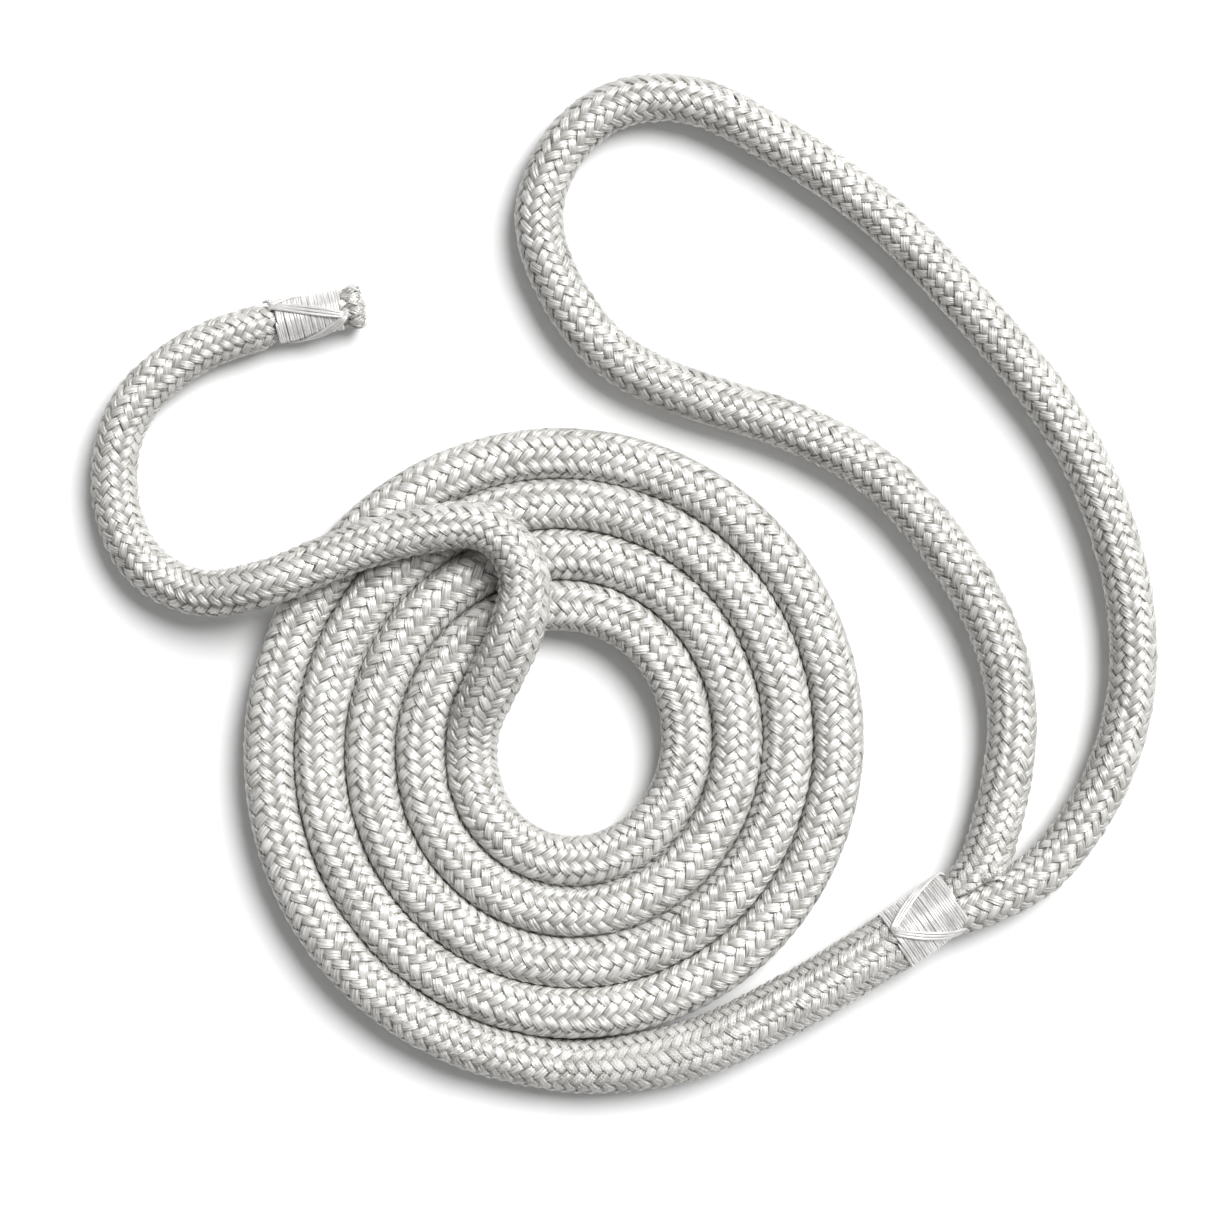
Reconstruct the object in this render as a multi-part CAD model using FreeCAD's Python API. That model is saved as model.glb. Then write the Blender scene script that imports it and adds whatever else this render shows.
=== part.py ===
import FreeCAD, Part
import math
import os

# Dock line of double-braid nylon, 19 mm (3/4 in), lying on a flat surface.
# One rope: whipped bitter end, tail over the coil, flat coil, swollen stretch of the
# splice, whipped throat, and an eye that comes back to the throat.
# Millimetres. +Z up, X and Y across the surface. The origin is on the surface, under the
# middle of the whole line's box.

# ---- driving dimensions ---------------------------------------------------------------

# The rope: a braided cover on a braided core.
rope_diameter = 19.05
cover_wall = 2.3
core_play = 0.1            # radial room between two layers of braid

# The splice swells the rope where cover tail, core and cover lie in each other.
splice_diameter = 23.6
splice_core_diameter = 18.8
cover_tail_diameter = 12.0
cover_tail_tip_diameter = 4.0
swelling_length = 34.0     # from plain rope to the full swelling

# The coil: a flat spiral, a little taller than wide, wound outwards from its eye.
coil_centre = (-22.9, -62.2)
coil_inner_radius = 38.0   # to the middle of the innermost turn
coil_start_angle = 180.0
coil_turns = 4.25
coil_tallness = 1.6
turn_gap = 0.4
points_per_turn = 16

# Whippings: wraps of twine, with frapping turns drawn over them.
twine_diameter = 0.9
whipping_play = 0.1
throat_whipping_length = 29.0
throat_whipping_diameter = 24.0
end_whipping_length = 26.5
end_whipping_diameter = 16.0
wraps_wall = 1.0
frapping_width = 2.4
frapping_play = 0.05

# The bitter end past its whipping: a short brush of cut braid that flares.
cut_end_length = 7.2
cut_end_diameter = 17.6
cut_core_diameter = 11.0
whipped_core_diameter = 9.4

# Lock stitches through the splice.
stitch_count = 4
stitch_pitch = 6.0
stitch_from_throat = 21.0
stitch_inset = 0.5         # below the cover's surface, at both ends

# Where the eye's far leg is cut to sit against the near leg and the throat.
butt_gap = 0.3

# Heights of the rope's centre line.
lie = rope_diameter / 2                    # lying on the surface
over = 1.5 * rope_diameter + 1.2           # lying on the coil
splice_lie = splice_diameter / 2
throat_lie = throat_whipping_diameter / 2 + twine_diameter + frapping_play

# How the paths and the tapers are made.
arc_share = 0.45           # of the shorter run beside it, that an arc takes
taper_stations = 8
shortest_edge = 0.001

# ---- the route of the rope's centre line ----------------------------------------------


def coil_points():
    """The coil's turns, with each corner as far out as puts the rope on the spiral."""
    pitch = rope_diameter + turn_gap
    corner = math.cos(math.pi / points_per_turn)
    points = []
    for i in range(int(round(coil_turns * points_per_turn)) + 1):
        turn = i / points_per_turn
        angle = math.radians(coil_start_angle + 360.0 * turn)
        radius = coil_inner_radius + pitch * turn - coil_tallness * math.cos(2 * angle)
        x = coil_centre[0] + radius / corner * math.cos(angle)
        y = coil_centre[1] + radius / corner * math.sin(angle)
        points.append((x, y, lie))
    return points


def beside(point, x, y, height):
    """A point that keeps its place beside another, at a height of its own."""
    return (point[0] + x, point[1] + y, height)


# From the bitter end to the coil. The first three points are nearly straight, under the
# whipping; the last five fold the rope back and down into the coil's innermost turn, and
# the last two of them go with that turn.
coil_start = coil_points()[0]
tail_points = [
    (-102.0, 107.4, lie),
    (-122.4, 103.2, lie),
    (-143.2, 98.4, lie),
    (-167.8, 89.8, lie),
    (-192.4, 69.0, lie),
    (-199.0, 38.6, lie),
    (-190.2, 9.4, lie),
    (-165.6, -5.4, 14.6),
    (-135.2, 0.0, over),
    (-106.2, 13.0, over),
    (-79.4, 20.8, over),
    (-53.2, 23.8, over),
    (-35.8, 7.0, over - 0.4),
    (-39.2, -17.8, over - 1.0),
    beside(coil_start, 10.4, 24.6, 20.4),
    beside(coil_start, 2.0, 11.0, 13.4),
]

# From the coil to the throat. The first three points go with the coil's outermost turn;
# the last two hold the straight, whipped stretch.
coil_finish = coil_points()[-1]
splice_points = [
    beside(coil_finish, 27.1, 2.7, 11.0),
    beside(coil_finish, 54.3, 8.9, splice_lie),
    beside(coil_finish, 79.1, 21.7, splice_lie),
    (74.4, -155.6, splice_lie),
    (91.6, -144.4, throat_lie),
]

# Round the eye, from the throat and back to it.
eye_points = [
    (139.0, -116.3, throat_lie),
    (148.6, -85.5, lie),
    (150.2, -50.8, lie),
    (143.2, -18.5, lie),
    (124.7, 13.1, lie),
    (97.8, 43.9, lie),
    (63.9, 61.6, lie),
    (25.4, 72.4, lie),
    (-5.4, 86.2, lie),
    (-25.0, 110.9, lie),
    (-35.8, 139.4, lie),
    (-27.0, 167.1, lie),
    (-5.4, 186.3, lie),
    (26.2, 188.3, lie),
    (59.7, 170.2, lie),
    (99.3, 142.8, lie),
    (135.5, 104.0, lie),
    (168.6, 64.3, lie),
    (187.9, 23.9, lie),
    (197.1, -21.6, lie),
    (191.7, -62.0, lie),
    (174.8, -95.5, lie),
    (149.8, -115.9, lie),
    (131.7, -126.3, 10.4),
]

# ---- paths: straight runs joined by tangent arcs ---------------------------------------


def rounded_path(route):
    """The route's edges: a straight piece and an arc for each corner, then the last run."""
    corners = [FreeCAD.Vector(*point) for point in route]
    edges = []
    radii = []
    start = corners[0]
    for before, corner, after in zip(corners, corners[1:], corners[2:]):
        reach = arc_share * min((before - corner).Length, (after - corner).Length)
        back = (before - corner).normalize()
        ahead = (after - corner).normalize()
        half_turn = (math.pi - back.getAngle(ahead)) / 2
        radius = reach / math.tan(half_turn)
        enter = corner + back * reach
        leave = corner + ahead * reach
        inward = (back + ahead).normalize()
        middle = corner + inward * (radius / math.cos(half_turn) - radius)
        edges.append(Part.LineSegment(start, enter).toShape())
        edges.append(Part.Arc(enter, middle, leave).toShape())
        radii.append(radius)
        start = leave
    edges.append(Part.LineSegment(start, corners[-1]).toShape())
    return edges, radii


def run_middle(edges, run):
    """The distance along the path to the middle of a run's straight piece."""
    before = sum(edge.Length for edge in edges[:2 * run])
    return before + edges[2 * run].Length / 2


def cut_path(edges, begin, end):
    """The part of a path between two distances along it."""
    picked = []
    passed = 0.0
    for edge in edges:
        low, high = edge.ParameterRange
        rate = (high - low) / edge.Length
        start = max(begin - passed, 0.0)
        stop = min(end - passed, edge.Length)
        if stop - start > shortest_edge:
            picked.append(edge.Curve.toShape(low + start * rate, low + stop * rate))
        passed += edge.Length
    return picked


def place_on(edges, distance):
    """The point and the direction of a path, a distance along it."""
    for edge in edges:
        if distance <= edge.Length or edge is edges[-1]:
            low, high = edge.ParameterRange
            at = low + min(distance / edge.Length, 1.0) * (high - low)
            return edge.valueAt(at), edge.tangentAt(at)
        distance -= edge.Length


def length_of(edges):
    return sum(edge.Length for edge in edges)


# ---- solids along a path ---------------------------------------------------------------


def ring(edges, distance, diameter):
    point, direction = place_on(edges, distance)
    return Part.Wire(Part.makeCircle(diameter / 2, point, direction))


def pipe(edges, diameter):
    """A solid round bar along a path, with its volume held against section by length."""
    solid = Part.Wire(edges).makePipeShell([ring(edges, 0.0, diameter)], True, False)
    expected = math.pi / 4 * diameter ** 2 * length_of(edges)
    if abs(solid.Volume / expected - 1) > 0.01:
        print("pipe volume off:", round(solid.Volume), "for", round(expected))
    return solid


def taper(edges, start_diameter, end_diameter):
    """A bar along a path whose diameter changes smoothly from one end to the other."""
    total = length_of(edges)
    stations = []
    for i in range(taper_stations + 1):
        share = i / taper_stations
        eased = share * share * (3 - 2 * share)
        diameter = start_diameter + (end_diameter - start_diameter) * eased
        stations.append(ring(edges, share * total, diameter))
    return Part.makeLoft(stations, True, True)


def core_inside(cover_diameter):
    """The diameter of the layer that lies inside a cover."""
    return cover_diameter - 2 * (cover_wall + core_play)


def hose(edges, outer, inner):
    return pipe(edges, outer).cut(pipe(edges, inner))


def largest(shape):
    return max(shape.Solids, key=lambda solid: solid.Volume)


# ---- the whole line's path and its landmarks -------------------------------------------

route = tail_points + coil_points() + splice_points + eye_points
path, arc_radii = rounded_path(route)
line_length = length_of(path)

last_tail_run = len(tail_points) - 1
last_coil_run = last_tail_run + len(coil_points())
throat_run = last_coil_run + len(splice_points)
crown_run = throat_run + 7
far_run = throat_run + 15

end_whipping_begin = cut_end_length
tail_begin = end_whipping_begin + end_whipping_length
coil_begin = run_middle(path, last_tail_run)
coil_end = run_middle(path, last_coil_run)
swelling_end = coil_end + swelling_length
throat_begin = run_middle(path, throat_run) - throat_whipping_length / 2
throat_end = throat_begin + throat_whipping_length
crown_begin = run_middle(path, crown_run)
far_leg_begin = run_middle(path, far_run)

tail_path = cut_path(path, tail_begin, coil_begin)
coil_path = cut_path(path, coil_begin, coil_end)
swelling_path = cut_path(path, coil_end, swelling_end)
splice_path = cut_path(path, swelling_end, throat_begin)
throat_path = cut_path(path, throat_begin, throat_end)
near_leg_path = cut_path(path, throat_end, crown_begin)
crown_path = cut_path(path, crown_begin, far_leg_begin)
far_leg_path = cut_path(path, far_leg_begin, line_length)
cut_end_path = cut_path(path, 0.0, end_whipping_begin)
end_whipping_path = cut_path(path, end_whipping_begin, tail_begin)


# ---- plain rope: a cover on a core -----------------------------------------------------

rope_core_diameter = core_inside(rope_diameter)
rope_bore = rope_core_diameter + 2 * core_play


def rope_cover(edges):
    return hose(edges, rope_diameter, rope_bore)


def rope_core(edges):
    return pipe(edges, rope_core_diameter)


# ---- the bitter end --------------------------------------------------------------------

whipped_end_diameter = end_whipping_diameter - 2 * (wraps_wall + whipping_play)
whipped_end_bore = whipped_core_diameter + 2 * core_play
cut_end_bore = cut_core_diameter + 2 * core_play


def whipped_end_cover():
    """The cover drawn in under the whipping, and flared past it."""
    necked = hose(end_whipping_path, whipped_end_diameter, whipped_end_bore)
    flared = taper(cut_end_path, cut_end_diameter, whipped_end_diameter)
    return necked.fuse(flared.cut(taper(cut_end_path, cut_end_bore, whipped_end_bore)))


def whipped_end_core():
    necked = pipe(end_whipping_path, whipped_core_diameter)
    return necked.fuse(taper(cut_end_path, cut_core_diameter, whipped_core_diameter))


# ---- the splice ------------------------------------------------------------------------

throat_diameter = throat_whipping_diameter - 2 * (wraps_wall + whipping_play)
splice_bore = splice_core_diameter + 2 * core_play
throat_core_diameter = core_inside(throat_diameter)
throat_bore = throat_core_diameter + 2 * core_play
cover_tail_bore = cover_tail_diameter + 2 * core_play
cover_tail_tip_bore = cover_tail_tip_diameter + 2 * core_play


def splice_cover():
    """The rope's cover, swollen over the splice and drawn in under the throat whipping."""
    swelling = taper(swelling_path, rope_diameter, splice_diameter)
    swelling = swelling.cut(taper(swelling_path, rope_bore, splice_bore))
    body = hose(splice_path, splice_diameter, splice_bore)
    throat = hose(throat_path, throat_diameter, throat_bore)
    return swelling.fuse([body, throat])


def splice_core():
    """The core, hollow where the cover's tail is buried in it."""
    swelling = taper(swelling_path, rope_core_diameter, splice_core_diameter)
    swelling = swelling.cut(taper(swelling_path, cover_tail_tip_bore, cover_tail_bore))
    body = hose(splice_path, splice_core_diameter, cover_tail_bore)
    throat = hose(throat_path, throat_core_diameter, cover_tail_bore)
    return swelling.fuse([body, throat])


def buried_cover_tail():
    swelling = taper(swelling_path, cover_tail_tip_diameter, cover_tail_diameter)
    body = pipe(splice_path + throat_path, cover_tail_diameter)
    return swelling.fuse(body)


def stitch_rods(diameter):
    """Lock stitches: short lengths of twine sewn across the splice, turn about."""
    rods = []
    length = splice_diameter - 2 * stitch_inset
    for i in range(stitch_count):
        distance = throat_begin - stitch_from_throat - i * stitch_pitch
        point, direction = place_on(path, distance)
        up = FreeCAD.Vector(0, 0, 1)
        side = direction.cross(up)
        across = side if i % 2 else up
        start = point - across * (length / 2)
        rods.append(Part.makeCylinder(diameter / 2, length, start, across))
    return rods


# ---- whippings -------------------------------------------------------------------------

def wraps(edges, diameter):
    """The twine's wraps, side by side, as the sleeve that they make."""
    return hose(edges, diameter, diameter - 2 * wraps_wall)


def frapping(edges, diameter):
    """Bands of twine drawn over the wraps from end to end, in a zigzag round the rope.

    Each pair of bands lies on a plane from the top or the bottom of the wraps, where the
    path starts, to their sides, where it ends.
    """
    inner = diameter + 2 * frapping_play
    shell = hose(edges, inner + 2 * twine_diameter, inner)
    length = length_of(edges)
    middle, direction = place_on(edges, length / 2)
    up = FreeCAD.Vector(0, 0, 1)
    side = direction.cross(up)
    base = middle + direction * (length / 2)
    bands = []
    for way in (1, -1):
        point = middle - direction * (length / 2) + up * (way * diameter / 2)
        slope = (point - base).normalize()
        normal = slope.cross(side).normalize()
        bands.append(slab(base, slope, side, normal, 2 * length, 3 * diameter))
    return shell.common(bands[0].fuse(bands[1]))


def slab(base, slope, side, normal, length, width):
    """A flat slab through a point, frapping_width thick, along slope and side."""
    corners = []
    for along, across in ((-1, -1), (1, -1), (1, 1), (-1, 1), (-1, -1)):
        corner = base + slope * (along * length) + side * (across * width / 2)
        corners.append(corner - normal * (frapping_width / 2))
    return Part.Face(Part.makePolygon(corners)).extrude(normal * frapping_width)


# ---- the eye ---------------------------------------------------------------------------


def against_throat(leg):
    """The far leg's end, cut to sit against the near leg and the throat."""
    near = pipe(near_leg_path, rope_diameter + 2 * butt_gap)
    whipping = pipe(throat_path, throat_whipping_diameter + 2 * twine_diameter + 2 * butt_gap)
    return largest(leg.cut(near).cut(whipping))


# ---- parts -----------------------------------------------------------------------------

stitch_holes = Part.makeCompound(stitch_rods(twine_diameter + 2 * core_play))

parts = {
    "whipped_end_cover": whipped_end_cover(),
    "whipped_end_core": whipped_end_core(),
    "end_whipping_wraps": wraps(end_whipping_path, end_whipping_diameter),
    "end_whipping_frapping": frapping(end_whipping_path, end_whipping_diameter),
    "tail_cover": rope_cover(tail_path),
    "tail_core": rope_core(tail_path),
    "coil_cover": rope_cover(coil_path),
    "coil_core": rope_core(coil_path),
    "splice_cover": splice_cover().cut(stitch_holes),
    "splice_core": splice_core().cut(stitch_holes),
    "buried_cover_tail": buried_cover_tail().cut(stitch_holes),
    "splice_lock_stitches": Part.makeCompound(stitch_rods(twine_diameter)),
    "throat_whipping_wraps": wraps(throat_path, throat_whipping_diameter),
    "throat_whipping_frapping": frapping(throat_path, throat_whipping_diameter),
    "eye_near_leg_cover": rope_cover(near_leg_path),
    "eye_near_leg_core": rope_core(near_leg_path),
    "eye_crown_cover": rope_cover(crown_path),
    "eye_crown_core": rope_core(crown_path),
    "eye_far_leg_cover": against_throat(rope_cover(far_leg_path)),
    "eye_far_leg_core": against_throat(rope_core(far_leg_path)),
}

os.makedirs("parts", exist_ok=True)
for name, shape in parts.items():
    shape.exportStep("parts/" + name + ".step")

print("length of the line:", round(line_length, 1))
print("radii of the arcs:", [round(radius, 1) for radius in arc_radii])
for name, shape in parts.items():
    print(name, len(shape.Solids), round(shape.Volume, 1), shape.isValid())
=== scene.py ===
import math

import bpy
import numpy as np
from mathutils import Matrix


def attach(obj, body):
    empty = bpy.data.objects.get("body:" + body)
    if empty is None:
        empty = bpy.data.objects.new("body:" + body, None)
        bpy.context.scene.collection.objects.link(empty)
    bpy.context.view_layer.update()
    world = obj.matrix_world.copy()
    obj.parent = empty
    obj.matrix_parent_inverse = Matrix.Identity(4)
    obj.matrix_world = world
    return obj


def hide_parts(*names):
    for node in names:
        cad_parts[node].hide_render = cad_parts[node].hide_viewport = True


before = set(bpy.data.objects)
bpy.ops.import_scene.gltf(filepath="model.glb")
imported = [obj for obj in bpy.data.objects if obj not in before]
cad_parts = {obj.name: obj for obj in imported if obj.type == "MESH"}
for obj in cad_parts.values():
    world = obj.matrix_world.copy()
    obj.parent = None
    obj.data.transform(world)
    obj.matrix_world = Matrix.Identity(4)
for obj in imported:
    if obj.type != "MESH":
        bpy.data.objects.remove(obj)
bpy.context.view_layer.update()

# Dock line of double-braid nylon: every carrier of the braid is a mesh strand of three
# yarns that goes over two and under two, laid along one smooth line. Metres.

MM = 0.001
UP = np.array([0.0, 0.0, 1.0])

# ---- the rope, as part.py has it -------------------------------------------------------

rope_diameter = 19.05
coil_centre = (-22.9, -62.2)
coil_inner_radius = 38.0
coil_start_angle = 180.0
coil_turns = 4.25
coil_tallness = 1.6
turn_gap = 0.4
points_per_turn = 16
splice_diameter = 23.6
swelling_length = 34.0
throat_whipping_length = 29.0
throat_whipping_diameter = 24.0
end_whipping_length = 26.5
cut_end_length = 7.2
twine_diameter = 0.9

lie = rope_diameter / 2
over = 1.5 * rope_diameter + 1.2
splice_lie = splice_diameter / 2
throat_lie = throat_whipping_diameter / 2 + 0.95

tail_points = [
    (-102.0, 107.4, lie),
    (-122.4, 103.2, lie),
    (-143.2, 98.4, lie),
    (-167.8, 89.8, lie),
    (-192.4, 69.0, lie),
    (-199.0, 38.6, lie),
    (-190.2, 9.4, lie),
    (-165.6, -5.4, 14.6),
    (-135.2, 0.0, over),
    (-106.2, 13.0, over),
    (-79.4, 20.8, over),
    (-53.2, 23.8, over),
    (-36.8, 6.4, over - 0.4),
    (-41.0, -17.4, over - 1.0),
    (-50.8, -37.0, 20.4),
    (-58.0, -51.2, 13.4),
]

splice_points = [
    (4.2, -184.2, 11.0),
    (31.4, -178.0, splice_lie),
    (56.2, -165.2, splice_lie),
    (74.4, -155.6, splice_lie),
    (91.6, -144.4, throat_lie),
]

eye_points = [
    (133.5, -118.9, throat_lie),
    (144.6, -88.5, lie),
    (150.2, -50.8, lie),
    (143.2, -18.5, lie),
    (124.7, 13.1, lie),
    (97.8, 43.9, lie),
    (63.9, 61.6, lie),
    (25.4, 72.4, lie),
    (-5.4, 86.2, lie),
    (-25.0, 110.9, lie),
    (-35.8, 139.4, lie),
    (-27.0, 167.1, lie),
    (-5.4, 186.3, lie),
    (26.2, 188.3, lie),
    (59.7, 170.2, lie),
    (99.3, 142.8, lie),
    (135.5, 104.0, lie),
    (168.6, 64.3, lie),
    (187.9, 23.9, lie),
    (197.1, -21.6, lie),
    (191.7, -62.0, lie),
    (174.8, -95.5, lie),
    (151.6, -119.3, 11.0),
    (123.2, -127.6, throat_lie),
]


def coil_points():
    pitch = rope_diameter + turn_gap
    corner = math.cos(math.pi / points_per_turn)
    points = []
    for i in range(int(round(coil_turns * points_per_turn)) + 1):
        turn = i / points_per_turn
        angle = math.radians(coil_start_angle + 360.0 * turn)
        radius = coil_inner_radius + pitch * turn - coil_tallness * math.cos(2 * angle)
        x = coil_centre[0] + radius / corner * math.cos(angle)
        y = coil_centre[1] + radius / corner * math.sin(angle)
        points.append((x, y, lie))
    return points


route = tail_points + coil_points() + splice_points + eye_points

# ---- camera, straight above ------------------------------------------------------------

camera_height = 2.0
frame_width = 0.4674                       # what it sees at the height of the rope's middle
frame_centre = (-0.0073, -0.0089)
sensor_width = 36.0                        # millimetres, as the lens is
camera_data = bpy.data.cameras.new("camera")
camera_data.sensor_width = sensor_width
camera_data.lens = sensor_width * (camera_height - lie * MM) / frame_width
camera_data.clip_end = 20.0
camera = bpy.data.objects.new("camera", camera_data)
camera.location = (*frame_centre, camera_height)
bpy.context.scene.collection.objects.link(camera)
bpy.context.scene.camera = camera

# ---- the line --------------------------------------------------------------------------


def spline_points(points):
    """The points, in metres, of the smooth line with these control points, in millimetres."""
    curve = bpy.data.curves.new("line", "CURVE")
    curve.dimensions = "3D"
    curve.resolution_u = 24
    spline = curve.splines.new("NURBS")
    spline.points.add(len(points) - 1)
    for point, co in zip(spline.points, points):
        point.co = (co[0] * MM, co[1] * MM, co[2] * MM, 1.0)
    spline.order_u = 3
    spline.use_endpoint_u = True
    holder = bpy.data.objects.new("line", curve)
    bpy.context.scene.collection.objects.link(holder)
    bpy.context.view_layer.update()
    mesh = bpy.data.meshes.new_from_object(holder)
    found = np.zeros(len(mesh.vertices) * 3)
    mesh.vertices.foreach_get("co", found)
    bpy.data.meshes.remove(mesh)
    bpy.data.objects.remove(holder)
    bpy.data.curves.remove(curve)
    return found.reshape(-1, 3)


def unit(vectors):
    return vectors / np.linalg.norm(vectors, axis=-1, keepdims=True)


class Line:
    """A line with a frame at each distance along it: its direction, its side and its top."""

    def __init__(self, points):
        step = np.linalg.norm(np.diff(points, axis=0), axis=1)
        points = points[np.r_[True, step > 1e-6]]
        step = np.linalg.norm(np.diff(points, axis=0), axis=1)
        self.points = points
        self.along = np.r_[0.0, np.cumsum(step)]
        self.length = self.along[-1]
        self.heading = unit(np.gradient(points, self.along, axis=0))
        self.side = unit(np.cross(self.heading, UP))
        self.top = np.cross(self.side, self.heading)

    def look_up(self, table, s):
        return np.stack([np.interp(s, self.along, table[:, k]) for k in range(3)], -1)

    def at(self, s):
        kept = np.clip(s, 0.0, self.length)
        heading = self.look_up(self.heading, kept)
        return self.look_up(self.points, kept) + heading * (s - kept)[..., None]

    def around(self, s, theta):
        """The direction away from the line, theta round it from its top."""
        kept = np.clip(s, 0.0, self.length)
        top = self.look_up(self.top, kept)
        side = self.look_up(self.side, kept)
        return top * np.cos(theta)[..., None] + side * np.sin(theta)[..., None]

    def nearest(self, point):
        gap = np.linalg.norm(self.points - np.array(point) * MM, axis=1)
        return float(self.along[np.argmin(gap)])

    def beneath(self, x, y):
        """The distance along the line and the angle round it of a point seen from above."""
        gap = np.linalg.norm(self.points[:, :2] - np.array([x, y]) * MM, axis=1)
        i = int(np.argmin(gap))
        out = float(np.dot(np.array([x, y]) * MM - self.points[i, :2], self.side[i, :2]))
        return float(self.along[i]), math.asin(out / float(rope_radius(self.along[i])))

    def stretch(self, begin, end):
        s = np.linspace(begin, end, max(2, int((end - begin) / 0.002)))
        return self.at(s)


line = Line(spline_points(route))


def between(a, b):
    return [(p + q) / 2 for p, q in zip(a, b)]


throat_centre = (115.4, -130.0, throat_lie)

# Landmarks, in metres along the line.
coil_route = coil_points()
end_whipping_begin = cut_end_length * MM
tail_begin = end_whipping_begin + end_whipping_length * MM
coil_begin = line.nearest(between(tail_points[-1], coil_route[0]))
coil_end = line.nearest(between(coil_route[-1], splice_points[0]))
fold_begin = line.nearest(tail_points[11])
fold = line.nearest(tail_points[13])
swelling_end = coil_end + swelling_length * MM
throat_middle = line.nearest(throat_centre)
throat_begin = throat_middle - throat_whipping_length * MM / 2
throat_end = throat_begin + throat_whipping_length * MM
throat_seam = throat_end - 0.004           # under the wraps, where two pieces of rope meet
crown_begin = line.nearest(between(eye_points[6], eye_points[7]))
far_leg_begin = line.nearest(between(eye_points[14], eye_points[15]))


def profile(stations):
    """A number that eases from one station to the next, from (place, number) pairs."""
    places = np.array([p for p, _ in stations])
    values = np.array([v for _, v in stations])

    def read(s):
        i = np.clip(np.searchsorted(places, s) - 1, 0, len(places) - 2)
        share = np.clip((s - places[i]) / (places[i + 1] - places[i]), 0.0, 1.0)
        eased = share * share * (3 - 2 * share)
        return values[i] + (values[i + 1] - values[i]) * eased

    return read


# The braid's outer radius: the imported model's, made a little thinner or plumper where the
# real rope is.
rope_radius = profile([
    (0.0, 8.8 * MM),
    (0.002, 8.8 * MM),
    (end_whipping_begin, 7.4 * MM),
    (end_whipping_begin + 0.003, 7.0 * MM),
    (tail_begin - 0.001, 7.0 * MM),
    (tail_begin + 0.008, 9.2 * MM),
    (fold_begin, 9.4 * MM),
    (fold, 10.8 * MM),
    (fold + 0.015, 10.8 * MM),
    (coil_begin + 0.080, 10.2 * MM),
    (coil_end - 0.020, 10.2 * MM),
    (swelling_end, 11.8 * MM),
    (throat_begin - 0.006, 11.8 * MM),
    (throat_begin, 12.1 * MM),
    (throat_begin + 0.003, 11.2 * MM),
    (throat_end - 0.006, 8.5 * MM),
    (throat_end, 9.1 * MM),
    (throat_end + 0.012, 9.8 * MM),
    (throat_end + 0.035, 9.9 * MM),
    (crown_begin, 9.8 * MM),
    (far_leg_begin, 9.5 * MM),
    (line.length - 0.020, 9.5 * MM),
    (line.length - 0.006, 9.4 * MM),
    (line.length, 8.8 * MM),
])
# How far the braid's middle is above the line, so that it lies on the floor.
rise = profile([
    (0.0, -0.3 * MM),
    (fold_begin, -0.2 * MM),
    (fold, 1.4 * MM),
    (coil_begin + 0.080, 0.3 * MM),
    (coil_end - 0.020, 0.3 * MM),
    (throat_begin - 0.020, 0.1 * MM),
    (throat_begin, 0.5 * MM),
    (throat_end, 0.5 * MM),
    (throat_end + 0.035, 0.4 * MM),
    (crown_begin, 0.3 * MM),
    (far_leg_begin, 0.0),
    (line.length, 0.0),
])
# How square its section is, pressed between its neighbours: 2 is round.
squareness = profile([
    (coil_begin - 0.010, 2.0),
    (coil_begin + 0.040, 3.0),
    (coil_end - 0.120, 3.0),
    (coil_end + 0.010, 2.0),
])
# How far it may reach to each side before it is flattened against its neighbour.
room = profile([
    (coil_begin - 0.020, 14.0 * MM),
    (coil_begin + 0.040, 9.68 * MM),
    (coil_end - 0.060, 9.68 * MM),
    (coil_end + 0.010, 14.0 * MM),
])
wall_give = 0.35                           # how much of what is past that still shows

# The lay: how far a carrier goes for one turn round the rope.
lay = profile([
    (0.0, 52.0 * MM),
    (0.080, 54.0 * MM),
    (0.150, 58.5 * MM),
    (coil_begin - 0.150, 57.0 * MM),
    (coil_begin + 0.050, 53.0 * MM),
    (coil_begin + 0.300, 58.5 * MM),
    (coil_end - 0.100, 59.5 * MM),
    (coil_end, 55.0 * MM),
    (swelling_end + 0.030, 45.5 * MM),
    (throat_begin, 44.5 * MM),
    (throat_end, 47.0 * MM),
    (throat_end + 0.050, 58.5 * MM),
    (crown_begin, 58.5 * MM),
    (line.length, 59.5 * MM),
])

carriers_each_way = 12
samples_per_wave = 8                       # a wave is two carriers over and two under
turn_angle = np.r_[0.0, np.cumsum(np.diff(line.along) * 2 * math.pi
                                  / lay((line.along[1:] + line.along[:-1]) / 2))]
wave_angle = 4 * math.pi / carriers_each_way / samples_per_wave


def station(s):
    """The number of the braid's station nearest to a distance along the line."""
    return int(round(float(np.interp(s, line.along, turn_angle)) / wave_angle))


# ---- meshes ----------------------------------------------------------------------------


def smooth_noise(rng, rows, count, spacing):
    """Rows of random numbers that change smoothly, one new number every few samples."""
    knots = rng.normal(0.0, 1.0, (rows, int(count / spacing) + 3))
    at = np.arange(count) / spacing
    low = at.astype(int)
    share = at - low
    share = share * share * (3 - 2 * share)
    return knots[:, low] * (1 - share) + knots[:, low + 1] * share


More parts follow.
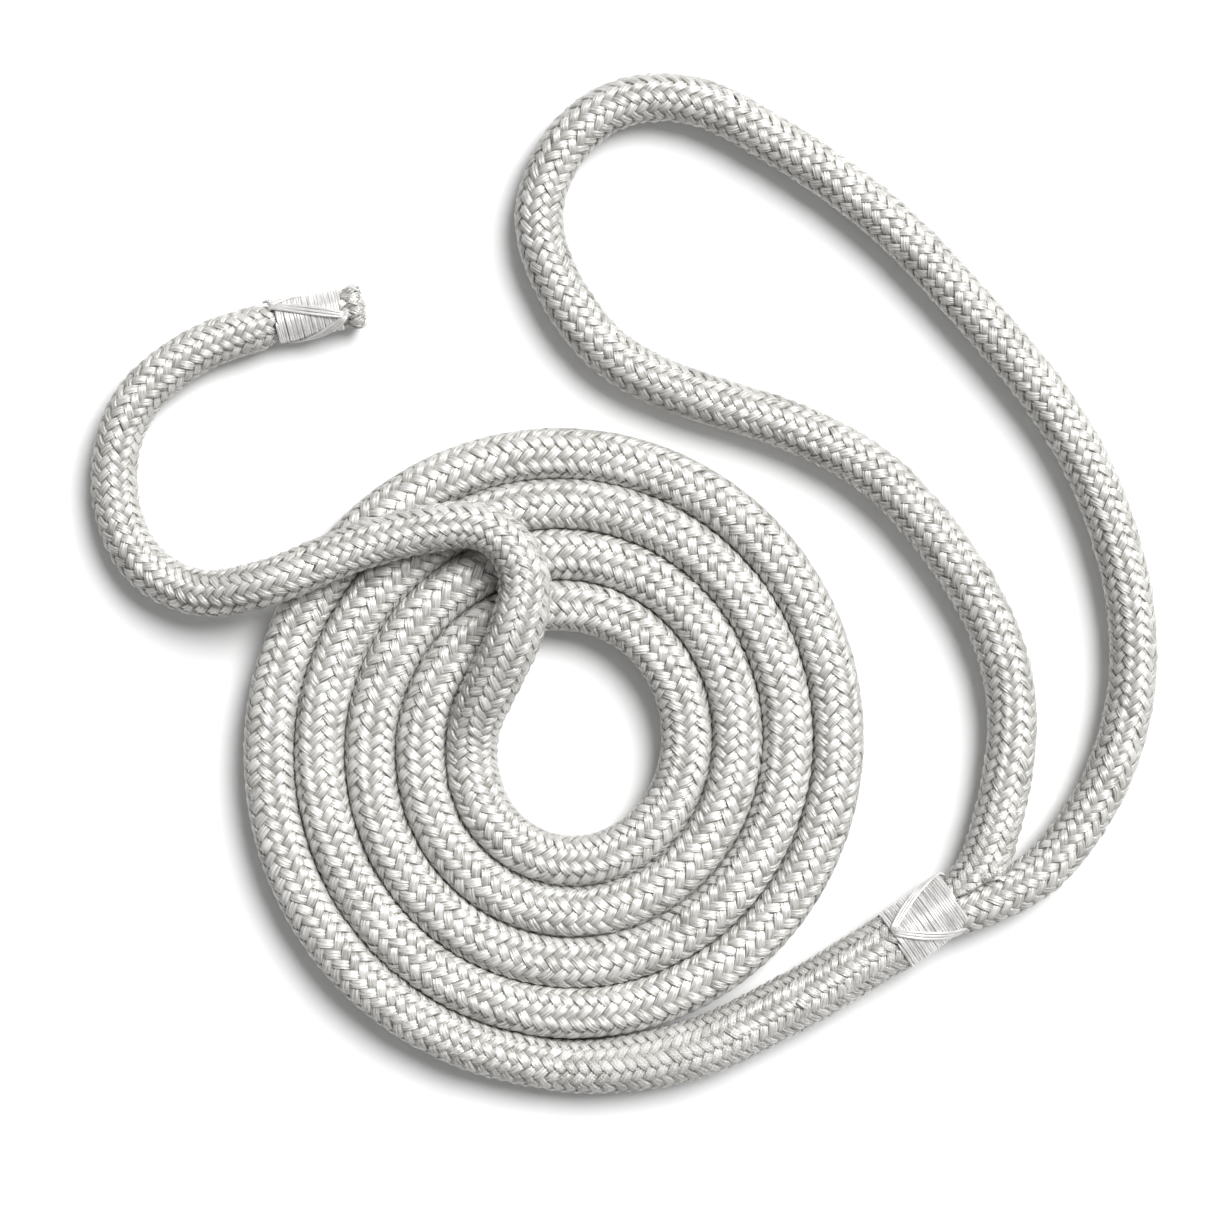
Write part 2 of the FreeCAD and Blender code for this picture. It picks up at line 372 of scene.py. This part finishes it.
def new_object(name, grids, material):
    """A smooth piece made of grids: points by row and column, UVs, tone with painted shade,
    closed or not.
    """
    vertices, faces, uvs, tones_and_painted_shade = [], [], [], []
    count = 0
    for points, across, along, tone_and_painted_shade in grids:
        rows, columns = points.shape[:2]
        vertices.append(points.reshape(-1, 3))
        faces.append(grid_faces(rows, columns) + count)
        uvs.append(grid_uv(across, along))
        tones_and_painted_shade.append((np.zeros((rows, columns)) + tone_and_painted_shade).ravel())
        count += rows * columns
    faces = np.concatenate(faces)
    mesh = bpy.data.meshes.new(name)
    mesh.vertices.add(count)
    mesh.vertices.foreach_set("co", np.concatenate(vertices).astype(np.float32).ravel())
    mesh.loops.add(faces.size)
    mesh.loops.foreach_set("vertex_index", faces.ravel().astype(np.int32))
    mesh.polygons.add(len(faces))
    mesh.polygons.foreach_set("loop_start", np.arange(len(faces), dtype=np.int32) * 4)
    mesh.polygons.foreach_set("use_smooth", np.ones(len(faces), dtype=bool))
    mesh.update(calc_edges=True)
    layer = mesh.uv_layers.new(name="along")
    layer.data.foreach_set("uv", np.concatenate(uvs).astype(np.float32).ravel())
    attribute = mesh.attributes.new("tone_and_painted_shade", "FLOAT", "POINT")
    attribute.data.foreach_set("value", np.concatenate(tones_and_painted_shade).astype(np.float32))
    mesh.materials.append(material)
    piece = bpy.data.objects.new(name, mesh)
    bpy.context.scene.collection.objects.link(piece)
    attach(piece, "root")
    return piece


def grid_faces(rows, columns):
    """The quads of a grid of points that closes round its columns."""
    i = np.arange(rows - 1)[:, None]
    j = np.arange(columns)[None, :]
    k = (j + 1) % columns
    corners = [i * columns + j, i * columns + k, (i + 1) * columns + k, (i + 1) * columns + j]
    return np.stack(corners, -1).reshape(-1, 4)


def grid_uv(across, along):
    """Their UVs: across has one more number than there are columns; along is per row."""
    uv = np.zeros((len(along) - 1, len(across) - 1, 4, 2))
    uv[:, :, 0, 0] = uv[:, :, 3, 0] = across[:-1]
    uv[:, :, 1, 0] = uv[:, :, 2, 0] = across[1:]
    uv[:, :, 0, 1] = uv[:, :, 1, 1] = along[:-1, None]
    uv[:, :, 2, 1] = uv[:, :, 3, 1] = along[1:, None]
    return uv.reshape(-1, 2)


def rope_point(s, theta, radius):
    """A point round the rope: theta is from its top, to the right along the line."""
    n = squareness(s)
    fuller = (np.abs(np.cos(theta)) ** n + np.abs(np.sin(theta)) ** n) ** (-1 / n)
    reach = radius * fuller
    p = line.at(s) + line.around(s, theta) * reach[..., None]
    sideways = reach * np.sin(theta)
    past = np.maximum(np.abs(sideways) - room(s), 0.0) * np.sign(sideways)
    p -= line.around(s, np.full(np.shape(s), math.pi / 2)) * (past * (1 - wall_give))[..., None]
    p[..., 2] += rise(s)
    return p


# ---- materials -------------------------------------------------------------------------


def fibre_material(name, light, dark, roughness, silk, streaks, relief):
    """Yarn: streaks and fine fibres along it, in a tone of its own for each strand, with the
    painted shade that each point carries.
    """
    material = bpy.data.materials.new(name)
    material.use_nodes = True
    nodes, links = material.node_tree.nodes, material.node_tree.links
    shader = nodes["Principled BSDF"]
    shader.inputs["Roughness"].default_value = roughness
    shader.inputs["Metallic"].default_value = silk
    shader.inputs["Anisotropic"].default_value = 0.8
    shader.inputs["Sheen Weight"].default_value = 0.15
    shader.inputs["Sheen Roughness"].default_value = 0.4

    across = nodes.new("ShaderNodeTangent")
    across.direction_type = "UV_MAP"
    across.uv_map = "along"
    links.new(across.outputs["Tangent"], shader.inputs["Tangent"])

    place = nodes.new("ShaderNodeUVMap")
    place.uv_map = "along"

    def noise(scale_across, scale_along, detail):
        stretch = nodes.new("ShaderNodeMapping")
        stretch.inputs["Scale"].default_value = (scale_across, scale_along, 1.0)
        links.new(place.outputs["UV"], stretch.inputs["Vector"])
        texture = nodes.new("ShaderNodeTexNoise")
        texture.inputs["Scale"].default_value = 1.0
        texture.inputs["Detail"].default_value = detail
        links.new(stretch.outputs["Vector"], texture.inputs["Vector"])
        return texture.outputs["Fac"]

    def weighted(value, weight, rest):
        node = nodes.new("ShaderNodeMath")
        node.operation = "MULTIPLY_ADD"
        node.inputs[1].default_value = weight
        links.new(value, node.inputs[0])
        if isinstance(rest, float):
            node.inputs[2].default_value = rest
        else:
            links.new(rest, node.inputs[2])
        return node.outputs["Value"]

    coarse = noise(streaks, 0.22, 1.0)
    fine = noise(streaks * 4.5, 0.4, 2.0)
    tone_and_painted_shade = nodes.new("ShaderNodeAttribute")
    tone_and_painted_shade.attribute_name = "tone_and_painted_shade"
    patches = nodes.new("ShaderNodeTexNoise")
    patches.inputs["Scale"].default_value = 90.0
    position = nodes.new("ShaderNodeTexCoord")
    links.new(position.outputs["Object"], patches.inputs["Vector"])

    # The weight of each in the shade, from 0 for the dark colour to 1 for the light one. The
    # per-point attribute brings random tone and painted shade.
    shade = weighted(tone_and_painted_shade.outputs["Fac"], 0.13, -0.59)
    shade = weighted(patches.outputs["Fac"], 0.15, shade)
    shade = weighted(fine, 0.7, shade)
    shade = weighted(coarse, 1.5, shade)
    ramp = nodes.new("ShaderNodeValToRGB")
    ramp.color_ramp.elements[0].position = 0.0
    ramp.color_ramp.elements[0].color = (*dark, 1.0)
    ramp.color_ramp.elements[1].position = 1.0
    ramp.color_ramp.elements[1].color = (*light, 1.0)
    links.new(shade, ramp.inputs["Fac"])
    links.new(ramp.outputs["Color"], shader.inputs["Base Color"])

    height = weighted(coarse, 3.0, fine)
    bump = nodes.new("ShaderNodeBump")
    bump.inputs["Distance"].default_value = relief * MM
    links.new(height, bump.inputs["Height"])
    links.new(bump.outputs["Normal"], shader.inputs["Normal"])
    return material


cover_material = fibre_material(
    "braided_nylon", light=(0.87, 0.862, 0.835), dark=(0.29, 0.28, 0.25),
    roughness=0.36, silk=0.25, streaks=1.7, relief=0.15)
# Darker than core yarn is, because it only shows in the shade between the strands.
core_material = fibre_material(
    "core_yarn", light=(0.36, 0.35, 0.32), dark=(0.20, 0.195, 0.17),
    roughness=0.6, silk=0.0, streaks=1.3, relief=0.06)
twine_material = fibre_material(
    "whipping_twine", light=(0.88, 0.87, 0.86), dark=(0.46, 0.445, 0.43),
    roughness=0.35, silk=0.25, streaks=2.0, relief=0.06)

# ---- the braid -------------------------------------------------------------------------

strand_thickness = 1.85 * MM
strand_fill = 1.16                         # of the room between two carriers
strand_spread = 0.07                       # wider on top of the braid, narrower beneath
strand_steepness = 1.05                    # how sharply it dives under the next one
# A strand's section, from -1 to 1 across it: three yarns on top, flat below.
section_across = np.array([-1.0, -0.70, -0.36, 0.0, 0.36, 0.70, 1.0, 0.55, -0.55])
section_height = np.array([-0.25, 0.72, 0.26, 1.0, 0.26, 0.72, -0.25, -0.80, -0.80])
# Painted shade across the section: darkest at the strand's edges and beneath it, darker in the
# grooves between its yarns, where shade falls.
section_painted_shade = np.array([-7.0, -0.7, -1.8, 0.6, -1.8, -0.7, -7.0, -7.0, -7.0])
dive_painted_shade = 2.1                           # painted shade: lighter on top of the braid, darker where it dives beneath
section_half_width = 1.7                   # millimetres, only for the fibres' scale
section_half_height = 0.75
section_mm = np.cumsum(np.r_[0.0, np.hypot(
    np.diff(np.r_[section_across, section_across[0]]) * section_half_width,
    np.diff(np.r_[section_height, section_height[0]]) * section_half_height)])

total_stations = station(line.length) + 9
noise_rng = np.random.default_rng(19)
carriers = 2 * carriers_each_way
# One row of numbers for each carrier, all along the rope, so that pieces meet exactly.
height_noise = smooth_noise(noise_rng, carriers, total_stations, 4) * 0.12 * MM
shift_noise = smooth_noise(noise_rng, carriers, total_stations, 5) * 0.17 * MM
tone_noise = smooth_noise(noise_rng, carriers, total_stations, 4) * 0.8
twist_noise = smooth_noise(noise_rng, 1, total_stations, 150)[0] * 0.35


def braid(name, begin, end, squeeze=None):
    """The rope's braided cover between two distances along the line."""
    numbers = np.arange(station(begin), station(end) + 1)
    turned = numbers * wave_angle
    s = np.interp(turned, turn_angle, line.along)
    outer = rope_radius(s)
    circumference = 2 * math.pi * (outer - strand_thickness)
    slant = np.arctan(circumference / lay(s))
    half = circumference / carriers_each_way * np.cos(slant) / 2 * strand_fill
    along = s / np.cos(slant) / MM
    phase = turned * carriers_each_way / math.pi
    grids = []
    for row in range(carriers):
        k = row % carriers_each_way
        way = 1 if row < carriers_each_way else -1
        crossing = 2 * k + phase - 0.5 if way > 0 else 2 * k - phase - 2.5
        wave = np.tanh(strand_steepness * np.cos(math.pi / 2 * crossing))
        lift = wave / math.tanh(strand_steepness)
        middle = outer + (lift / 2 - 1) * strand_thickness + height_noise[row, numbers]
        theta = 2 * math.pi * k / carriers_each_way + way * turned + twist_noise[numbers]
        spread = half * (1 + strand_spread * lift)
        across = spread[:, None] * section_across + shift_noise[row, numbers, None]
        # Random tone for each strand, with painted shade at its edges, between its yarns,
        # beneath it and where it dives under the crossing strands.
        tone_and_painted_shade = tone_noise[row, numbers, None] + section_painted_shade + dive_painted_shade * lift[:, None]
        place = s[:, None] - way * across * np.sin(slant)[:, None]
        round_it = theta[:, None] + across * np.cos(slant)[:, None] / middle[:, None]
        radius = middle[:, None] + section_height * strand_thickness / 2
        points = rope_point(place, round_it, radius)
        if squeeze is not None:
            points = squeeze(points)
        grids.append((points, section_mm + 10.0 * row, along, tone_and_painted_shade))
    return new_object(name, grids, cover_material)


def core(name, begin, end, squeeze=None):
    """The braided core, as much of it as shows between the cover's strands."""
    ring_gap = 1.5 * MM
    columns = 32
    core_lay = 40.0 * MM
    strands_each_way = 8
    s = np.arange(begin, end + 0.0007, ring_gap)
    place, theta = np.meshgrid(s, np.linspace(0.0, 2 * math.pi, columns, endpoint=False),
                               indexing="ij")
    spin = 2 * math.pi * place / core_lay
    wave = np.cos(strands_each_way * (theta + spin)) * np.cos(strands_each_way * (theta - spin))
    radius = rope_radius(place) - 1.95 * strand_thickness + wave * 0.15 * MM
    points = rope_point(place, theta, radius)
    if squeeze is not None:
        points = squeeze(points)
    round_mm = np.linspace(0.0, 40.0, columns + 1)
    grid = (points, round_mm, s / MM, 0.0)
    return new_object(name, [grid], core_material)


# ---- twine -----------------------------------------------------------------------------

twine = 1.2 * MM                           # as wide as it lies, pressed a little flat
thin = twine_diameter * MM / 2             # half its thickness
wrap_pitch = 1.0 * MM
points_per_wrap = 40
frap_past_wraps = 1.5 * MM                 # how far a frapping turn goes past each end
frap_dip = 2.6 * MM                        # how deep it goes into the rope there
throat_frap_begin = 0.9 * MM               # the throat's upper ones start on the wraps
throat_whipping_radii = (12.4 * MM, 11.3 * MM)
end_whipping_radii = (8.0 * MM, 8.1 * MM)
knot_angle = math.radians(66.0)


def tube(centres, radius, columns=8, tone_and_painted_shade=0.0):
    """The grid of a round tube of twine through these points, closed at its ends."""
    heading = unit(np.gradient(centres, axis=0))
    across = np.zeros_like(heading)
    across[0] = unit(np.cross(heading[0], [0.31, 0.23, 0.92]))
    for i in range(1, len(heading)):
        leaned = across[i - 1] - heading[i] * np.dot(across[i - 1], heading[i])
        across[i] = leaned / np.linalg.norm(leaned)
    other = np.cross(heading, across)
    angle = np.linspace(0.0, 2 * math.pi, columns, endpoint=False)
    ring = (across[:, None] * np.cos(angle)[None, :, None]
            + other[:, None] * np.sin(angle)[None, :, None])
    size = np.full(len(centres), radius)
    size[[0, -1]] = radius * 0.05
    size[[1, -2]] = radius * 0.75
    points = centres[:, None] + ring * size[:, None, None]
    step = np.r_[0.0, np.cumsum(np.linalg.norm(np.diff(centres, axis=0), axis=1))] / MM
    return (points, np.linspace(0.0, 2.8, columns + 1), step, tone_and_painted_shade)


def twine_piece(name, runs, radius=twine / 2, tone_and_painted_shade=0.0):
    return new_object(name, [tube(run, radius, tone_and_painted_shade=tone_and_painted_shade) for run in runs], twine_material)


class Whipping:
    """A straight whipped stretch: points round its own axis, from begin to end of it."""

    def __init__(self, begin, length, radii):
        self.start = line.at(np.array(begin)) + UP * rise(np.array(begin))
        self.heading = unit(line.at(np.array(begin + length)) - line.at(np.array(begin)))
        self.side = unit(np.cross(self.heading, UP))
        self.top = np.cross(self.side, self.heading)
        self.length = length
        self.radii = radii

    def point(self, a, theta, above):
        share = np.clip(a / self.length, 0.0, 1.0)
        radius = self.radii[0] + (self.radii[1] - self.radii[0]) * share + above
        out = (self.top * np.cos(theta)[..., None] + self.side * np.sin(theta)[..., None])
        return self.start + self.heading * a[..., None] + out * radius[..., None]

    def wraps(self, rng):
        turns = int(self.length / wrap_pitch)
        count = turns * points_per_wrap
        share = np.arange(count) / (count - 1)
        wander = smooth_noise(rng, 2, count, 12)
        a = twine / 2 + (self.length - twine) * share + wander[0] * 0.14 * MM
        return self.point(a, 2 * math.pi * turns * share, -twine / 2 + wander[1] * 0.09 * MM)

    def frap(self, first_angle, last_angle, backwards, strands, first=-frap_past_wraps):
        """Parallel twines over the wraps, from one end to the other and into the rope."""
        share = np.linspace(0.0, 1.0, 60)
        a = first + (self.length + frap_past_wraps - first) * share
        if backwards:
            a = a[::-1]
        theta = np.radians(first_angle + (last_angle - first_angle) * share)
        radius = sum(self.radii) / 2
        run = np.array([a[-1] - a[0], (theta[-1] - theta[0]) * radius])
        run = run / np.linalg.norm(run)
        dip = np.clip((np.abs(share - 0.5) - 0.43) / 0.07, 0.0, 1.0) ** 2 * frap_dip
        found = []
        for k in range(strands):
            off = (k - (strands - 1) / 2) * twine * np.sin(math.pi * share) ** 0.3
            found.append(self.point(a - run[1] * off, theta + run[0] * off / radius,
                                    thin - dip))
        return found


twine_rng = np.random.default_rng(5)
throat_whipping = Whipping(throat_begin, throat_end - throat_begin, throat_whipping_radii)
end_whipping = Whipping(end_whipping_begin, tail_begin - end_whipping_begin,
                        end_whipping_radii)


def wraps_piece(name, whipping):
    centres = whipping.wraps(twine_rng)
    tone_and_painted_shade = smooth_noise(twine_rng, 1, len(centres), 22).T * 1.5
    return twine_piece(name, [centres], tone_and_painted_shade=tone_and_painted_shade)


throat_wraps = wraps_piece("throat_twine_wraps", throat_whipping)
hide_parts("throat_whipping_wraps")
throat_fraps = twine_piece(
    "throat_twine_frapping",
    throat_whipping.frap(-20.0, 96.0, False, 3, throat_frap_begin)
    + throat_whipping.frap(-20.0, -98.0, False, 3, throat_frap_begin)
    + throat_whipping.frap(96.0, 168.0, True, 2)
    + throat_whipping.frap(262.0, 168.0, True, 2))
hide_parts("throat_whipping_frapping")

end_wraps = wraps_piece("end_twine_wraps", end_whipping)
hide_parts("end_whipping_wraps")
end_fraps = twine_piece(
    "end_twine_frapping",
    end_whipping.frap(-23.0, 50.0, False, 3)
    + end_whipping.frap(-23.0, -145.0, False, 3)
    + end_whipping.frap(164.0, 50.0, False, 2)
    + end_whipping.frap(164.0, 215.0, False, 2))
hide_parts("end_whipping_frapping")


def knot():
    """The twine's end knot, at the whipping's edge, with a short tail."""
    t = np.linspace(0.0, 2 * math.pi, 60)
    a = end_whipping.length + (0.4 + 1.1 * (np.sin(t) + 2 * np.sin(2 * t)) / 3) * MM
    theta = knot_angle + 0.15 * (np.cos(t) - 2 * np.cos(2 * t)) / 3
    loop = end_whipping.point(a, theta, (1.2 + 0.5 * np.sin(3 * t)) * MM)
    t = np.linspace(0.0, 1.0, 12)
    tail_end = end_whipping.point(end_whipping.length + (1.4 + 1.6 * t) * MM,
                                  knot_angle + 0.22 * t, (1.3 - 0.5 * t * t) * MM)
    return [loop, tail_end]


end_knot = twine_piece("end_twine_knot", knot(), twine * 0.48)


def stitch(s, theta, slant, length, strands, above=0.0):
    """Twine sewn over the braid: it comes out of the rope, lies on it and goes back in."""
    share = np.linspace(-1.0, 1.0, 14)
    runs = []
    for k in range(strands):
        off = (k - (strands - 1) / 2) * twine * 0.95
        radius = rope_radius(s) + above + twine * (0.4 - 2.2 * share ** 6)
        along = s + share * length / 2 * math.cos(slant) - off * math.sin(slant)
        side = share * length / 2 * math.sin(slant) + off * math.cos(slant)
        runs.append(rope_point(along, theta + side / radius, radius))
    return runs


stitch_s, stitch_theta = line.beneath(67.8, -160.4)
lock_stitches = twine_piece("lock_stitches",
                            stitch(stitch_s, stitch_theta, math.radians(62.0), 5.0 * MM, 2))
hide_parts("splice_lock_stitches")

# Where the far leg is drawn into the near one, a few yarns of it come out between strands.
yarn_s, yarn_theta = line.beneath(137.1, -112.9)
# Their tone is lowered well below the cover's: painted shade of the hollow between the strands
# where they lie.
throat_yarns = new_object(
    "throat_cover_yarns",
    [tube(run, 0.42 * MM, 6, twine_rng.normal() - 2.5)
     for slant in (20.0, 62.0, 100.0, 140.0)
     for run in stitch(yarn_s + twine_rng.normal() * 0.7 * MM, yarn_theta, math.radians(slant),
                       5.0 * MM, 2, -1.6 * MM)],
    cover_material)


# ---- the cut end -----------------------------------------------------------------------

cover_yarns_cut = 64
core_yarns_cut = 80
cut_core_radius = 7.0 * MM
cut_yarn_length = 5.0 * MM


def cut_yarns(rng):
    """The bitter end past its whipping: the yarns of cover and core, cut short."""
    runs = []
    share = np.linspace(0.0, 1.0, 9)
    begin = cut_yarn_length
    for k in range(cover_yarns_cut):
        theta = 2 * math.pi * k / cover_yarns_cut + rng.normal(0.0, 0.05)
        tip = rng.uniform(-0.9, 0.9) * MM
        s = begin + (tip - begin) * share
        radius = rope_radius(s) - rng.uniform(0.3, 1.4) * MM - 1.3 * MM * share ** 6
        curl = theta + rng.choice([-1.0, 1.0]) * 0.33 * share
        runs.append(rope_point(s, curl, radius))
    for k in range(core_yarns_cut):
        theta = 2 * math.pi * rng.uniform()
        out = cut_core_radius * math.sqrt(rng.uniform())
        tip = rng.uniform(-0.6, 0.8) * MM - 1.6 * MM * (1 - (out / cut_core_radius) ** 2)
        s = begin + (tip - begin) * share
        runs.append(rope_point(s, theta + rng.normal(0.0, 0.15) * share,
                               out + rng.normal(0.0, 0.3) * MM * share))
    return runs


cut_end = new_object("cut_end_yarns",
                     [tube(run, 0.52 * MM, 6, twine_rng.normal() * 1.6)
                      for run in cut_yarns(twine_rng)],
                     cover_material)

# ---- pieces of rope --------------------------------------------------------------------

seam_point = np.array([144.8, -110.8, 20.0]) * MM            # where the legs part
seam_heading = unit(np.array([0.926, 0.376, 0.0]))
seam_normal = unit(np.array([-0.376, 0.926, -0.35]))         # towards the near leg
seam_length = 5.0 * MM                     # over which the legs let go of each other
seam_overlap = 0.4 * MM
bound_overlap = 1.4 * MM                   # more of it, nearer the whipping
bound_length = 8.0 * MM
seam_reach = 7.5 * MM                      # the covers are drawn level this far from it
seam_fill = 3.0 * MM
hollow_place = -7.9 * MM                   # where the far leg's yarns go into the near leg
hollow_size = 2.6 * MM
hollow_depth = 1.3                         # of the fill


def pressed(side):
    """Keeps one leg of the eye on its side of the seam where the two are bound together."""
    def squeeze(points):
        off = points - seam_point
        beyond = off @ seam_heading
        depth = side * (off @ seam_normal)
        share = np.clip(1.0 - (beyond - 0.5 * MM) / seam_length, 0.0, 1.0)
        eased = share * share * (3 - 2 * share)
        bound = np.clip((hollow_place - beyond) / bound_length, 0.0, 1.0)
        push = np.maximum(-(seam_overlap + bound_overlap * bound) - depth, 0.0) * eased
        points = points + side * seam_normal * push[..., None]
        near = np.clip(1.0 - (depth + push) / seam_reach, 0.0, 1.0) ** 2
        hollow = np.exp(-((beyond - hollow_place) / hollow_size) ** 2)
        high = np.clip((points[..., 2] - throat_lie * MM) / (6.0 * MM), -1.0, 1.0)
        fill = seam_fill * (1.0 - hollow_depth * hollow) * (1.0 - bound)
        points[..., 2] += fill * near * eased * high
        return points
    return squeeze


def rope(name, begin, end, nodes, core_nodes, squeeze=None):
    cover = braid(name, begin, end, squeeze)
    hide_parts(*nodes)
    inside = core(name + "_core", begin, end, squeeze)
    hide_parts(*core_nodes)
    diameter = 2 * float(np.median(rope_radius(np.linspace(begin, end, 50))))


coil_middle = (coil_begin + coil_end) / 2
rope("rope_tail", 0.0015, coil_begin, ["tail_cover", "whipped_end_cover"],
     ["tail_core", "whipped_end_core"])
rope("rope_coil_inner", coil_begin, coil_middle, ["coil_cover"], ["coil_core"])
rope("rope_coil_outer", coil_middle, coil_end, ["coil_cover"], ["coil_core"])
rope("rope_splice", coil_end, throat_seam, ["splice_cover"],
     ["splice_core", "buried_cover_tail"])
rope("rope_eye_near_leg", throat_seam, crown_begin, ["eye_near_leg_cover"],
     ["eye_near_leg_core"], squeeze=pressed(1))
rope("rope_eye_crown", crown_begin, far_leg_begin, ["eye_crown_cover"],
     ["eye_crown_core"])
rope("rope_eye_far_leg", far_leg_begin, line.length, ["eye_far_leg_cover"],
     ["eye_far_leg_core"], squeeze=pressed(-1))

# ---- floor and light -------------------------------------------------------------------

floor_reach = 4
floor_mesh = bpy.data.meshes.new("floor")
floor_mesh.from_pydata([(x * floor_reach, y * floor_reach, 0)
                        for x, y in ((-1, -1), (1, -1), (1, 1), (-1, 1))], [], [(0, 1, 2, 3)])
floor = bpy.data.objects.new("floor", floor_mesh)
bpy.context.scene.collection.objects.link(floor)
floor_material = bpy.data.materials.new("floor")
floor_material.use_nodes = True
floor_shader = floor_material.node_tree.nodes["Principled BSDF"]
floor_shader.inputs["Base Color"].default_value = (0.9, 0.9, 0.9, 1.0)
floor_shader.inputs["Roughness"].default_value = 0.9
floor_shader.inputs["Specular IOR Level"].default_value = 0.0
floor_mesh.materials.append(floor_material)

sun_data = bpy.data.lights.new("key", "SUN")
sun_data.energy = 4.1
sun_data.angle = math.radians(34.0)
sun = bpy.data.objects.new("key", sun_data)
sun.rotation_euler = (0.0, math.radians(36.5), math.radians(45.0))
bpy.context.scene.collection.objects.link(sun)

world = bpy.data.worlds.new("studio")
world.use_nodes = True
world.node_tree.nodes["Background"].inputs["Color"].default_value = (1.0, 1.0, 1.0, 1.0)
world.node_tree.nodes["Background"].inputs["Strength"].default_value = 0.27
bpy.context.scene.world = world
bpy.context.scene.view_settings.view_transform = "Standard"
